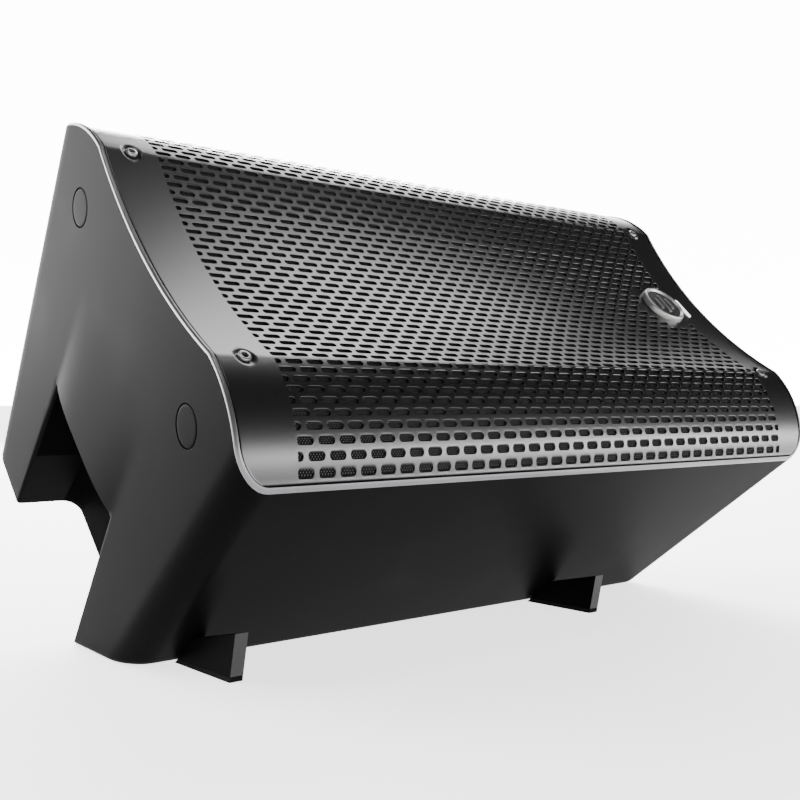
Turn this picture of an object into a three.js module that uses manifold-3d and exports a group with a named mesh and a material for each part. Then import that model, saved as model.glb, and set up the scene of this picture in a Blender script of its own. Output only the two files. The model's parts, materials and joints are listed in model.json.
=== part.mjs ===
// A moulded 12-inch powered loudspeaker lying on its side as a stage monitor wedge.
// Units are millimetres and +Z is up. X runs along the cabinet, and the grille faces -Y and up at 45 degrees.
// Most pieces are drawn in the cabinet's own frame: x along its length, y across its width (+y is the upper
// side of the wedge) and z out of its front, with z = 0 on the two creases of the front.
import * as THREE from 'three';
import { mergeVertices } from 'three/addons/utils/BufferGeometryUtils.js';
import Module from 'manifold-3d';

const wasm = await Module();
wasm.setup();

// Driving dimensions
const HALF_LENGTH = 332.7; // at the creases
const HALF_WIDTH = 195; // at the rim
const RIM_Z = -42.3; // depth of the rim at the two long edges
const DEPTH = 373;
const CREASE_Y = 113.3;
const DISH_DEPTH = 14.9; // how far the middle of the front lies behind the creases
const SHOULDER_RADIUS = 100;
const END_DRAFT = 0.0761; // taper of each end face per unit of depth
const SIDE_DRAFT = 0.1244; // taper of the upper and lower walls
const BEVEL_Z = -277.8; // where the 45 degree floor bevel starts on the lower wall
const CORNER_RADIUS = 24;
const WALL = 5;
const GAP = 0.3;
const TILT = Math.PI / 4;

const BAFFLE_FRONT = -33.7;
const BAFFLE_THICKNESS = 14;
const BAFFLE_BACK = BAFFLE_FRONT - BAFFLE_THICKNESS;
const BAFFLE_FLAT_Y = 176; // the baffle's long edges are chamfered beyond this
const LEDGE_WIDTH = 20;
const GRILLE_DROP = 1; // grille surface below the rim
const GRILLE_THICKNESS = 1.5;
const SCREW_X = [-305.9, 304.4];
const WOOFER_X = 136;
const HORN_X = -182;
const PORT_X = -36;
const PORT_Y = 128;
const BADGE_X = 262.7;
const LED_X = 299.4;

const POCKET_FRONT = -209;
const POCKET_FLOOR_X = -244;
const POCKET_UPPER = [69.5, 79]; // y of the grip pocket's upper side at its front and at the rear face
const POCKET_LOWER = [-72.5, -88];
const POCKET_CORNER = 16;
const CAP_Y = { upper: 116.2, lower: -120.2 };
const CAP_Z = -59.8;
const CAP_RADIUS = 15;

const PANEL_X = 32;
const PANEL_Y = 33.5;
const PANEL_SIZE = [300, 140];
const PANEL_RECESS = 20;
const PANEL_THICKNESS = 2.5;
const TUNNEL_WALL = 4;

const POLE_Z = -230;
const POLE_BORE = 18.3;
const POLE_DEPTH = 85;

const FIN_X = [-266.2, 132.4];
const FIN_THICKNESS = 11;
const FIN_FOOT_Y = -135.9; // front of the fins where they stand
const FIN_HEIGHT = 36.6;
const FIN_LEAN = 0.216; // forward lean of the front edge per unit of height
const PAD_HEIGHT = 4;

const INSERT_RADIUS = 7.2;
const POLE_TUBE = 22;
const FEET = [[118, -112], [-118, -112], [86, -318], [-84, -318]]; // y and z on the far end face

// Places on the amplifier panel
const PANEL_SCREWS = [[-145.6, -40], [145.6, -40], [-145.6, 40], [145.6, 40]];
const JACKS = [['input_jack_1', -124, 0], ['input_jack_2', -90, 0], ['link_output_jack', -56, 0]];
const KNOBS = [['level_knob_1', -124, 42], ['level_knob_2', -96, 42]];
const DISPLAY = [-44, 42];
const ENCODER = [4, 42];
const BUTTON = [28, 42];
const INLET = [-20, -42];
const SWITCH = [24, -42];
const ROCKER_PIN_Z = -4;
const HEATSINK = [93, 0];

const lowerCorner = -(HALF_WIDTH - SIDE_DRAFT * (RIM_Z - BEVEL_Z)); // y where the lower wall meets the bevel
const bevelMeetsBack = lowerCorner + DEPTH + BEVEL_Z;
const floorShift = -(lowerCorner + BEVEL_Z) * Math.SQRT1_2;
const depthShift = -131.57; // centres the cabinet over the origin

// Finishes
function finish(color, roughness, metalness = 0) {
  return new THREE.MeshStandardMaterial({ color, roughness, metalness });
}
const blackShell = finish(0x17181a, 0.5);
const blackSteel = finish(0x1d1e20, 0.45, 0.3);
const cloth = finish(0x0d0d0e, 0.95);
const brightSteel = finish(0xb9bcc0, 0.25, 1);
const darkPlastic = finish(0x101113, 0.4);
const whiteLens = finish(0xf4f6fa, 0.3);
const rubber = finish(0x141414, 0.9);
const board = finish(0x2c2a26, 0.85);
const paper = finish(0x1b1a19, 0.9);
const castMetal = finish(0x6b6d70, 0.5, 0.8);
const circuit = finish(0x1f4a2c, 0.6);
const foam = finish(0x2e2e30, 1);
const copper = finish(0x9a5b32, 0.4, 0.9);

// Solid building
function solid(geometry) {
  const bare = new THREE.BufferGeometry();
  const source = geometry.index ? geometry.toNonIndexed() : geometry;
  bare.setAttribute('position', source.getAttribute('position').clone());
  const merged = mergeVertices(bare, 1e-4);
  const index = Array.from(merged.index.array);
  const triangles = [];
  for (let i = 0; i < index.length; i += 3) {
    const [a, b, c] = index.slice(i, i + 3);
    if (a !== b && b !== c && a !== c) triangles.push(a, b, c);
  }
  const vertProperties = new Float32Array(merged.getAttribute('position').array);
  const build = (order) => new wasm.Manifold(new wasm.Mesh({
    numProp: 3,
    vertProperties,
    triVerts: new Uint32Array(order),
  }));
  const made = build(triangles);
  return made.volume() < 0 ? build(triangles.reverse()) : made;
}

function geometryOf(shape) {
  const mesh = shape.getMesh();
  const geometry = new THREE.BufferGeometry();
  geometry.setAttribute('position', new THREE.BufferAttribute(new Float32Array(mesh.vertProperties), 3));
  geometry.setIndex(new THREE.BufferAttribute(new Uint32Array(mesh.triVerts), 1));
  geometry.computeVertexNormals();
  return geometry;
}

const join = (...shapes) => shapes.reduce((sum, next) => sum.add(next));
const cut = (shape, ...tools) => tools.reduce((rest, tool) => rest.subtract(tool), shape);

function roundedRectangle(halfX, halfY, radius) {
  const shape = new THREE.Shape();
  const [x, y] = [halfX - radius, halfY - radius];
  shape.absarc(x, y, radius, 0, Math.PI / 2);
  shape.absarc(-x, y, radius, Math.PI / 2, Math.PI);
  shape.absarc(-x, -y, radius, Math.PI, 1.5 * Math.PI);
  shape.absarc(x, -y, radius, 1.5 * Math.PI, 2 * Math.PI);
  return shape;
}

// A plate with rounded corners, standing on low and reaching up to high
function plate(x, y, halfX, halfY, low, high, radius = 3) {
  const shape = roundedRectangle(halfX, halfY, radius);
  const body = new THREE.ExtrudeGeometry(shape, { depth: high - low, bevelEnabled: false, curveSegments: 1 });
  return solid(body.translate(x, y, low));
}

function block(x, y, z, sizeX, sizeY, sizeZ) {
  return solid(new THREE.BoxGeometry(sizeX, sizeY, sizeZ).translate(x, y, z));
}

function rod(radius, low, high, segments = 16) {
  const body = new THREE.CylinderGeometry(radius, radius, high - low, segments);
  return solid(body.rotateX(Math.PI / 2).translate(0, 0, (low + high) / 2));
}

// A turned solid about z from a closed outline of [radius, height] pairs
function turned(outline, segments = 24) {
  const points = outline.map(([r, h]) => new THREE.Vector2(r, h));
  if (outline[0][0] > 0) points.push(points[0].clone());
  return solid(new THREE.LatheGeometry(points, segments).rotateX(Math.PI / 2));
}

const moved = (shape, x, y, z) => shape.translate([x, y, z]);

// The outline of a section, given as [y, z] pairs, run along x
function alongX(points, from, to) {
  const shape = new THREE.Shape(points.map(([y, z]) => new THREE.Vector2(y, z)));
  const body = new THREE.ExtrudeGeometry(shape, { depth: to - from, bevelEnabled: false });
  const turn = new THREE.Matrix4().makeBasis(
    new THREE.Vector3(0, 1, 0), new THREE.Vector3(0, 0, 1), new THREE.Vector3(1, 0, 0));
  return solid(body.applyMatrix4(turn).translate(from, 0, 0));
}

// Cabinet form
const endAt = (z) => HALF_LENGTH + END_DRAFT * z;
const sideAt = (z) => HALF_WIDTH + SIDE_DRAFT * (z - RIM_Z);

function frontZ(y) {
  const side = Math.abs(y);
  const middleRadius = (CREASE_Y ** 2 + DISH_DEPTH ** 2) / (2 * DISH_DEPTH);
  if (side < CREASE_Y) return middleRadius - DISH_DEPTH - Math.sqrt(middleRadius ** 2 - side ** 2);
  const out = side - CREASE_Y;
  return Math.sqrt(SHOULDER_RADIUS ** 2 - out ** 2) - SHOULDER_RADIUS;
}

// Points across the front at a drop below its surface, from -reach to +reach
function frontLine(reach, drop) {
  const line = [];
  const stops = [[-reach, -CREASE_Y, 7], [-CREASE_Y, CREASE_Y, 10], [CREASE_Y, reach, 7]];
  for (const [from, to, steps] of stops) {
    for (let i = 0; i < steps; i += 1) {
      const y = from + (to - from) * i / steps;
      line.push([y, frontZ(y) - drop]);
    }
  }
  line.push([reach, frontZ(reach) - drop]);
  return line;
}

// The tapered block of the cabinet between two depths, with its walls moved in by inset
function tapered(inset, low, high) {
  const radius = Math.max(CORNER_RADIUS - inset, 3);
  const halves = [HALF_LENGTH - inset, HALF_WIDTH - inset];
  const outline = roundedRectangle(halves[0], halves[1], radius);
  const options = { depth: high - low, bevelEnabled: false, curveSegments: 4 };
  const body = new THREE.ExtrudeGeometry(outline, options).translate(0, 0, low);
  const place = body.getAttribute('position');
  for (let i = 0; i < place.count; i += 1) {
    const [x, y, z] = [place.getX(i), place.getY(i), place.getZ(i)];
    place.setXYZ(i, x * (endAt(z) - inset) / halves[0], y * (sideAt(z) - inset) / halves[1], z);
  }
  return solid(body);
}

// The section behind the front line: rear face and floor bevel, moved in by inset
function rearSection(top, inset) {
  const slant = inset * Math.SQRT2;
  const back = -DEPTH + inset;
  return [
    ...top,
    [250, top.at(-1)[1]],
    [250, back],
    [bevelMeetsBack + slant - inset, back],
    [bevelMeetsBack + slant - inset - 250, back + 250],
    [-250, top[0][1]],
  ];
}

function pocket(grow) {
  const floorX = POCKET_FLOOR_X + grow;
  const [upper, lower] = [POCKET_UPPER[0] + grow, POCKET_LOWER[0] - grow];
  const radius = POCKET_CORNER + grow;
  const shape = new THREE.Shape();
  shape.moveTo(-400, lower);
  shape.lineTo(floorX - radius, lower);
  shape.absarc(floorX - radius, lower + radius, radius, -Math.PI / 2, 0);
  shape.absarc(floorX - radius, upper - radius, radius, 0, Math.PI / 2);
  shape.lineTo(-400, upper);
  const low = -DEPTH - 20;
  const high = POCKET_FRONT + grow;
  const body = new THREE.ExtrudeGeometry(shape, { depth: high - low, bevelEnabled: false, curveSegments: 3 });
  body.translate(0, 0, low);
  const place = body.getAttribute('position');
  for (let i = 0; i < place.count; i += 1) {
    const [y, z] = [place.getY(i), place.getZ(i)];
    const flare = y > 0
      ? (POCKET_UPPER[1] - POCKET_UPPER[0]) * y / upper
      : (POCKET_LOWER[1] - POCKET_LOWER[0]) * y / lower;
    place.setY(i, y + flare * (high - z) / (DEPTH + POCKET_FRONT));
  }
  return solid(body);
}

const group = new THREE.Group();
const cabinet = new THREE.Group();
cabinet.rotation.x = TILT;
cabinet.position.set(0, depthShift, floorShift);
group.add(cabinet);

function add(parent, name, shape, material) {
  const mesh = new THREE.Mesh(geometryOf(shape), material);
  mesh.name = name;
  parent.add(mesh);
}

// A frame inside the cabinet, turned about y
function frameAt(x, y, z, turnY = 0) {
  const frame = new THREE.Group();
  frame.position.set(x, y, z);
  frame.rotation.y = turnY;
  cabinet.add(frame);
  return frame;
}

// The frame of an end face, with z out of the face: side is -1 at the near end and +1 at the far end
const endTurn = (side) => side * (Math.PI / 2 + Math.atan(END_DRAFT));
const endFrame = (side, y, z) => frameAt(side * endAt(z), y, z, endTurn(side));
function onEnd(shape, side, y, z) {
  const matrix = new THREE.Matrix4().makeRotationY(endTurn(side)).setPosition(side * endAt(z), y, z);
  return shape.transform(matrix.elements);
}

// Cabinet, baffle and front
function cabinetShell() {
  const form = tapered(0, -DEPTH, 5).intersect(
    alongX(rearSection(frontLine(HALF_WIDTH, 0), 0), -400, 400));
  const front = tapered(WALL, BAFFLE_BACK - GAP, 20);
  const ledge = tapered(WALL + LEDGE_WIDTH, BAFFLE_BACK - 12, BAFFLE_BACK + 2);
  const rear = tapered(WALL, -DEPTH, BAFFLE_BACK - GAP - 8).intersect(
    alongX(rearSection([[-250, 20], [250, 20]], WALL), -400, 400));
  const [halfX, halfY] = [PANEL_SIZE[0] / 2, PANEL_SIZE[1] / 2];
  const seat = -DEPTH + PANEL_RECESS + PANEL_THICKNESS + GAP;
  const opening = (grow, low, high) => plate(PANEL_X, PANEL_Y, halfX + grow, halfY + grow, low, high, 6);
  const tunnel = opening(TUNNEL_WALL, -DEPTH - 1, seat + 6);
  const hollow = cut(join(front, ledge, rear), pocket(TUNNEL_WALL), tunnel);
  const panelScrewHoles = PANEL_SCREWS.map(([x, y]) => (
    moved(rod(1.8, seat - 1, seat + 12), PANEL_X - x, PANEL_Y + y, 0)));
  const rigging = [CAP_Y.lower, CAP_Y.upper].flatMap((y) => [
    onEnd(rod(CAP_RADIUS + GAP, -2.6, 8, 32), -1, y, CAP_Z),
    onEnd(rod(INSERT_RADIUS + GAP, -26, 8), -1, y, CAP_Z),
  ]);
  return cut(
    form, hollow, pocket(0),
    opening(0, -DEPTH - 1, seat), opening(-8, seat - 1, seat + 12), ...panelScrewHoles,
    ...rigging,
    onEnd(rod(POLE_TUBE + GAP, -20, 8, 24), 1, 0, POLE_Z),
  );
}

const screwPlaces = SCREW_X.flatMap((x) => [[x, -CREASE_Y], [x, CREASE_Y]]);

function frontBaffle() {
  const postTop = -GRILLE_DROP - GRILLE_THICKNESS - 6;
  const posts = screwPlaces.map(([x, y]) => moved(rod(6, BAFFLE_FRONT - 1, postTop), x, y, 0));
  const holes = screwPlaces.map(([x, y]) => moved(rod(2.4, BAFFLE_FRONT + 4, 5, 12), x, y, 0));
  const ports = [-PORT_Y, PORT_Y].map((y) => moved(rod(28.5, -60, 0, 24), PORT_X, y, 0));
  const chamfered = alongX([
    [-HALF_WIDTH, BAFFLE_BACK], [HALF_WIDTH, BAFFLE_BACK], [HALF_WIDTH, BAFFLE_BACK + 0.2],
    [BAFFLE_FLAT_Y, BAFFLE_FRONT], [-BAFFLE_FLAT_Y, BAFFLE_FRONT], [-HALF_WIDTH, BAFFLE_BACK + 0.2],
  ], -400, 400);
  const panel = tapered(WALL + 0.6, BAFFLE_BACK - 1, BAFFLE_FRONT + 1).intersect(chamfered);
  return cut(
    join(panel, ...posts),
    ...holes, ...ports,
    moved(rod(142, -60, 0, 32), WOOFER_X, 0, 0),
    plate(HORN_X, 0, 99, 122, -60, 0, 12),
  );
}

// A sheet that follows the front between two drops below its surface
function frontSheet(inset, drop, thickness) {
  const reach = HALF_WIDTH - inset + 4;
  const under = frontLine(reach, drop + thickness).reverse();
  const sheet = alongX([...frontLine(reach, drop), ...under], -400, 400);
  return sheet.intersect(tapered(inset, RIM_Z - 15, 10));
}

add(cabinet, 'cabinet_shell', cabinetShell(), blackShell);
add(cabinet, 'front_baffle', frontBaffle(), board);
const screwHoles = screwPlaces.map(([x, y]) => moved(rod(2.4, -20, 5, 12), x, y, 0));
const lensHole = plate(LED_X, 0, 2.9, 14.1, -30, 0, 2.4);
add(cabinet, 'grille',
  cut(frontSheet(WALL + 1, GRILLE_DROP, GRILLE_THICKNESS), ...screwHoles, lensHole), blackSteel);
add(cabinet, 'grille_cloth',
  cut(frontSheet(WALL + 2, GRILLE_DROP + GRILLE_THICKNESS + 0.7, 1.8), ...screwHoles, lensHole), cloth);
screwPlaces.forEach(([x, y], i) => {
  const screw = turned([
    [0, 3.4], [3, 2.8], [4.9, GAP], [2, GAP], [2, -24], [0, -24],
  ], 12);
  add(frameAt(x, y, -GRILLE_DROP), `grille_screw_${i + 1}`, screw, brightSteel);
});

// Badge and light
const badge = frameAt(BADGE_X, 0, -DISH_DEPTH);
add(badge, 'badge_ring', turned([[20.6, -0.2], [25, -0.2], [24.6, 4.6], [23.4, 5.6], [20.6, 5.6]], 32),
  brightSteel);
add(badge, 'badge_disc', rod(20.2, -0.2, 3.4, 32), darkPlastic);
add(cabinet, 'led_lens', join(
  plate(LED_X, 0, 2.6, 13.8, -DISH_DEPTH - 2.6, -DISH_DEPTH - 0.3, 2.2),
  plate(LED_X, 0, 2, 6, BAFFLE_FRONT + 2.6, -DISH_DEPTH - 2, 1.5)), whiteLens);
add(cabinet, 'led_board', plate(LED_X, 0, 6, 15, BAFFLE_FRONT + GAP, BAFFLE_FRONT + 2.1, 1), circuit);

// Woofer, with z out of the baffle
const woofer = frameAt(WOOFER_X, 0, BAFFLE_FRONT);
function wooferBasket() {
  const basket = turned([
    [151.5, GAP], [151.5, 5], [137.5, 5], [137.5, -18], [86, -84], [48, -84], [48, -88], [89, -88],
    [141.3, -20], [141.3, GAP],
  ], 32);
  return cut(basket, block(0, 0, -52, 400, 70, 50), block(0, 0, -52, 70, 400, 50));
}

// A half-round roll from one radius to another, standing on height
function halfRoll(inner, outer, height, thickness) {
  const middle = (inner + outer) / 2;
  const arc = (radius) => Array.from({ length: 5 }, (_, i) => [
    middle + radius * Math.cos(Math.PI * i / 4), height + radius * Math.sin(Math.PI * i / 4)]);
  return turned([...arc(outer - middle), ...arc(outer - middle - thickness).reverse()], 24);
}

function dome(radius, low, rise, thickness) {
  const arc = (drop) => Array.from({ length: 5 }, (_, i) => [
    radius * i / 4, low + rise * (1 - (i / 4) ** 2) - drop]);
  return turned([...arc(0), ...arc(thickness).reverse()]);
}

add(woofer, 'woofer_basket', wooferBasket(), castMetal);
add(woofer, 'woofer_magnet', turned([
  [8, -86], [36.3, -86], [36.3, -125], [41.2, -125], [41.2, -88.3], [76, -88.3], [76, -132], [8, -132],
]), castMetal);
add(woofer, 'voice_coil', turned([[37.6, -112], [39.8, -112], [39.8, -62], [37.6, -62]]), copper);
add(woofer, 'woofer_cone', turned([[40.4, -66], [40.4, -61], [118, -9.5], [118.8, -11.6]]), paper);
add(woofer, 'woofer_surround', halfRoll(119.2, 136.8, -9, 1.2), rubber);
add(woofer, 'woofer_spider', turned([[40.4, -71], [78, -71], [78, -69.5], [40.4, -69.5]]), copper);
add(woofer, 'dust_cap', dome(46, -55, 12.6, 1.2), paper);

// Horn
const horn = frameAt(HORN_X, 0, BAFFLE_FRONT);

// A closed body through rounded sections, each { z, halfX, halfY, power }, with the same count of points
function loft(sections, count = 24) {
  const points = [];
  for (const { z, halfX, halfY, power } of sections) {
    for (let i = 0; i < count; i += 1) {
      const angle = 2 * Math.PI * i / count;
      const [c, s] = [Math.cos(angle), Math.sin(angle)];
      points.push(
        halfX * Math.sign(c) * Math.abs(c) ** (2 / power),
        halfY * Math.sign(s) * Math.abs(s) ** (2 / power),
        z,
      );
    }
  }
  const bottom = points.length / 3;
  points.push(0, 0, sections[0].z, 0, 0, sections.at(-1).z);
  const index = [];
  for (let ring = 0; ring < sections.length - 1; ring += 1) {
    for (let i = 0; i < count; i += 1) {
      const [a, b] = [ring * count + i, ring * count + (i + 1) % count];
      index.push(a, b, b + count, a, b + count, a + count);
    }
  }
  const top = (sections.length - 1) * count;
  for (let i = 0; i < count; i += 1) {
    const next = (i + 1) % count;
    index.push(bottom, next, i, bottom + 1, top + i, top + next);
  }
  const geometry = new THREE.BufferGeometry();
  geometry.setAttribute('position', new THREE.Float32BufferAttribute(points, 3));
  geometry.setIndex(index);
  return solid(geometry);
}

function hornFlare() {
  const flare = (grow) => [0, 0.3, 0.65, 1].map((t) => ({
    z: -92 + 96 * t,
    halfX: 13 + 77 * t ** 1.3 + grow,
    halfY: 13 + 99 * t ** 1.6 + grow,
    power: 2 + 6 * t,
  }));
  const skin = cut(loft(flare(2.5)), loft([{ z: -99, halfX: 13, halfY: 13, power: 2 }, ...flare(0)]));
  const flange = cut(plate(0, 0, 105, 128, GAP, 4, 10), loft(flare(0.5)));
  const neck = turned([[13, -97], [40, -97], [40, -90.5], [13, -90.5]]);
  return cut(join(skin, flange, neck), loft(flare(0)), rod(13, -99, -88, 24));
}

add(horn, 'horn_flare', hornFlare(), darkPlastic);
add(horn, 'compression_driver', turned([
  [12.7, -97.3], [38, -97.3], [38, -104], [52, -104], [52, -150], [44, -156], [0, -156], [0, -110],
  [12.7, -110],
]), castMetal);

[PORT_Y, -PORT_Y].forEach((y, i) => {
  const tube = turned([[25, 3], [31, 3], [31, GAP], [28, GAP], [28, -110], [25, -110]]);
  add(frameAt(PORT_X, y, BAFFLE_FRONT), `port_tube_${i + 1}`, tube, darkPlastic);
});

// End face fittings
Object.entries(CAP_Y).forEach(([side, y]) => {
  const frame = endFrame(-1, y, CAP_Z);
  add(frame, `rigging_cap_${side}`, rod(CAP_RADIUS, -2.3, 0, 32), darkPlastic);
  add(frame, `rigging_insert_${side}`, turned([
    [4.2, -2.6], [INSERT_RADIUS, -2.6], [INSERT_RADIUS, -24], [4.2, -24],
  ], 16), brightSteel);
});
add(endFrame(1, 0, POLE_Z), 'pole_cup', turned([
  [POLE_BORE, 3], [42, 3], [44, 1.6], [44, GAP], [POLE_TUBE, GAP], [POLE_TUBE, -POLE_DEPTH - 3],
  [0, -POLE_DEPTH - 3], [0, -POLE_DEPTH], [POLE_BORE, -POLE_DEPTH],
]), darkPlastic);
FEET.forEach(([y, z], i) => {
  const foot = turned([[0, GAP], [14, GAP], [13.4, 4], [11, 6.5], [0, 6.5]], 16);
  add(endFrame(1, y, z), `rubber_foot_${i + 1}`, foot, rubber);
});

// Amplifier: its frame looks out of the rear, with z = 0 on the panel's outer face
const amp = frameAt(PANEL_X, PANEL_Y, -DEPTH + PANEL_RECESS, Math.PI);

function ampPanel() {
  const through = (x, y, halfX, halfY) => plate(x, y, halfX, halfY, -10, 10, 1);
  const bore = (x, y, radius) => moved(rod(radius, -10, 10), x, y, 0);
  return cut(
    plate(0, 0, PANEL_SIZE[0] / 2 - 0.4, PANEL_SIZE[1] / 2 - 0.4, -PANEL_THICKNESS, 0, 5.6),
    ...JACKS.map(([, x, y]) => through(x, y, 12.8, 15.3)),
    ...KNOBS.map(([, x, y]) => bore(x, y, 3.4)),
    bore(...ENCODER, 3.4),
    bore(...BUTTON, 3.9),
    through(...DISPLAY, 30.3, 13.3),
    through(...INLET, 14, 10),
    through(...SWITCH, 11.9, 8.2),
    ...PANEL_SCREWS.map(([x, y]) => bore(x, y, 1.8)),
  );
}

function heatsink() {
  const [x, y] = HEATSINK;
  const fins = Array.from({ length: 9 }, (_, i) => block(x - 40 + 10 * i, y, 9, 2.6, 120, 13));
  return join(block(x, y, 1.8, 90, 120, 3), ...fins);
}

function standoffs(x, y, spanX, spanY, low) {
  const corners = [[-1, -1], [1, -1], [1, 1], [-1, 1]];
  const post = rod(2.5, low, -PANEL_THICKNESS - GAP, 12);
  return corners.map(([i, j]) => moved(post, x + i * spanX, y + j * spanY, 0));
}

function ampBoard() {
  const [x, y] = HEATSINK;
  const coils = [-30, 0, 30].map((shift) => moved(rod(9, -30, -15, 16), x - 20, y + shift, 0));
  return join(
    plate(x, y, 42, 56, -16, -14.4, 2),
    ...standoffs(x, y, 37, 50, -15),
    ...coils,
    block(x + 20, y, -21, 24, 70, 12),
  );
}

function powerSupplyBoard() {
  const [x, y] = [-20, -38];
  const capacitors = [-38, -14].map((shift) => moved(rod(9, -58, -31, 16), x + shift, y, 0));
  return join(
    plate(x, y, 60, 25, -32, -30.4, 2),
    ...standoffs(x, y, 54, 20, -31),
    ...capacitors,
    block(x + 28, y, -43, 36, 32, 23),
  );
}

function preampBoard() {
  const pots = [...KNOBS.map(([, x, y]) => [x, y]), ENCODER];
  return join(
    plate(-52, 42, 90, 14, -9.6, -8, 1),
    ...pots.map(([x, y]) => block(x, y, -12.5, 15, 15, 7)),
    block(...DISPLAY, -5.6, 56, 22, 5.4),
  );
}

function jack([name, x, y]) {
  const body = cut(
    join(plate(x, y, 12.5, 15, -25, 1, 2), plate(x, y, 14.4, 17, GAP, 2.2, 3)),
    moved(rod(9.5, -20, 5), x, y, 0),
  );
  add(amp, name, body, darkPlastic);
}

function knob([name, x, y]) {
  const body = turned([[0, 13], [7.4, 13], [8.2, 12], [8.6, 0.8], [3, 0.8], [3, -7.5], [0, -7.5]], 16);
  add(amp, name, cut(moved(body, x, y, 0), block(x, y + 8.2, 9, 1, 2.4, 9)), darkPlastic);
}

add(amp, 'amp_panel', ampPanel(), blackSteel);
add(amp, 'amp_heatsink', heatsink(), darkPlastic);
add(amp, 'amp_board', ampBoard(), circuit);
add(amp, 'power_supply_board', powerSupplyBoard(), circuit);
add(amp, 'preamp_board', preampBoard(), circuit);
JACKS.forEach(jack);
KNOBS.forEach(knob);
add(amp, 'encoder_shaft', moved(rod(3, -7, 11.2), ...ENCODER, 0), brightSteel);
add(amp, 'encoder_knob', moved(turned([
  [3.3, 1.6], [9, 1.6], [8.6, 12], [7.8, 12.8], [0, 12.8], [0, 11.6], [3.3, 11.6],
], 16), ...ENCODER, 0), darkPlastic);
add(amp, 'pairing_button', moved(rod(3.5, -7, 2.5), ...BUTTON, 0), darkPlastic);
add(amp, 'display_window', plate(...DISPLAY, 30, 13, -2.3, 0.4, 1.5), darkPlastic);
add(amp, 'mains_inlet', cut(
  join(plate(...INLET, 13.6, 9.6, -20, 1, 1.5), plate(...INLET, 24, 11.5, GAP, 2.4, 3)),
  plate(...INLET, 11.8, 7.8, -17, 5, 2)), darkPlastic);
add(amp, 'power_switch_frame', cut(
  join(plate(...SWITCH, 11.6, 7.9, -14, 1, 1), plate(...SWITCH, 14, 10.4, GAP, 2, 2)),
  plate(...SWITCH, 10.3, 6.7, -12, 5, 0.6)), darkPlastic);

// The rocker tips about the pin line through ROCKER_PIN_Z
const rockerOutline = new THREE.Shape([[-8.8, 6.2], [0, 4.8], [8.8, 6.2], [8.2, -2], [-8.2, -2]]
  .map(([x, z]) => new THREE.Vector2(x, z)));
const rocker = new THREE.ExtrudeGeometry(rockerOutline, { depth: 12.6, bevelEnabled: false });
rocker.rotateX(Math.PI / 2).translate(SWITCH[0], SWITCH[1] + 6.3, ROCKER_PIN_Z);
add(amp, 'power_rocker', solid(rocker), darkPlastic);

PANEL_SCREWS.forEach(([x, y], i) => {
  const screw = turned([[0, 2.2], [1.8, 2], [3, GAP], [1.5, GAP], [1.5, -8.5], [0, -8.5]], 10);
  add(amp, `panel_screw_${i + 1}`, moved(screw, x, y, 0), brightSteel);
});

// Damping and leads
add(cabinet, 'damping_foam', block(265, 10, -310, 56, 130, 55), foam);

function lead(name, points, radius) {
  const circle = new THREE.Shape();
  circle.absarc(0, 0, radius, 0, 2 * Math.PI);
  const path = new THREE.CatmullRomCurve3(points.map((p) => new THREE.Vector3(...p)));
  const body = new THREE.ExtrudeGeometry(circle, { steps: 12, extrudePath: path, curveSegments: 4 });
  add(cabinet, name, solid(body), rubber);
}
lead('woofer_lead', [
  [-40, 30, -318], [-34, 30, -280], [0, 26, -240], [34, 22, -190], [52, 20, -150], [57, 20, -140],
], 2.2);
lead('horn_lead', [
  [-84, 30, -318], [-88, 30, -280], [-110, 20, -240], [-150, 6, -215], [-168, 2, -196],
], 2);

// Feet of the wedge, drawn straight in the floor's frame
const toFloor = (y, z) => [(y - z) * Math.SQRT1_2 + depthShift, (y + z) * Math.SQRT1_2 + floorShift];
const wallFoot = toFloor(lowerCorner, BEVEL_Z);
const wallTop = toFloor(-HALF_WIDTH, RIM_Z);
const wallSlope = (wallTop[1] - wallFoot[1]) / (wallTop[0] - wallFoot[0]);
const wallClear = GAP * Math.hypot(1, wallSlope) * 1.4;
const wallYAt = (z) => wallFoot[0] + (z - wallFoot[1] + wallClear) / wallSlope;
const finFrontY = (z) => FIN_FOOT_Y - FIN_LEAN * z;
// The top edge of a fin is square to its front edge and runs back to the wall
const finTopFront = [finFrontY(FIN_HEIGHT), FIN_HEIGHT];
const finTopBack = (() => {
  const reach = FIN_HEIGHT + FIN_LEAN * finTopFront[0] + wallSlope * wallFoot[0] - wallFoot[1] + wallClear;
  const y = reach / (wallSlope + FIN_LEAN);
  return [y, FIN_HEIGHT - FIN_LEAN * (y - finTopFront[0])];
})();

[['near', FIN_X[0]], ['far', FIN_X[1]]].forEach(([side, x]) => {
  const [from, to] = [x - FIN_THICKNESS / 2, x + FIN_THICKNESS / 2];
  const foot = PAD_HEIGHT + GAP;
  add(group, `monitor_fin_${side}`, alongX([
    [finFrontY(foot), foot], [wallYAt(foot), foot], finTopBack, finTopFront,
  ], from, to), blackShell);
  add(group, `fin_pad_${side}`, alongX([
    [finFrontY(0), 0], [wallYAt(0) - 2, 0], [wallYAt(PAD_HEIGHT) - 2, PAD_HEIGHT],
    [finFrontY(PAD_HEIGHT), PAD_HEIGHT],
  ], from, to), rubber);
});

export default group;
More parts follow.
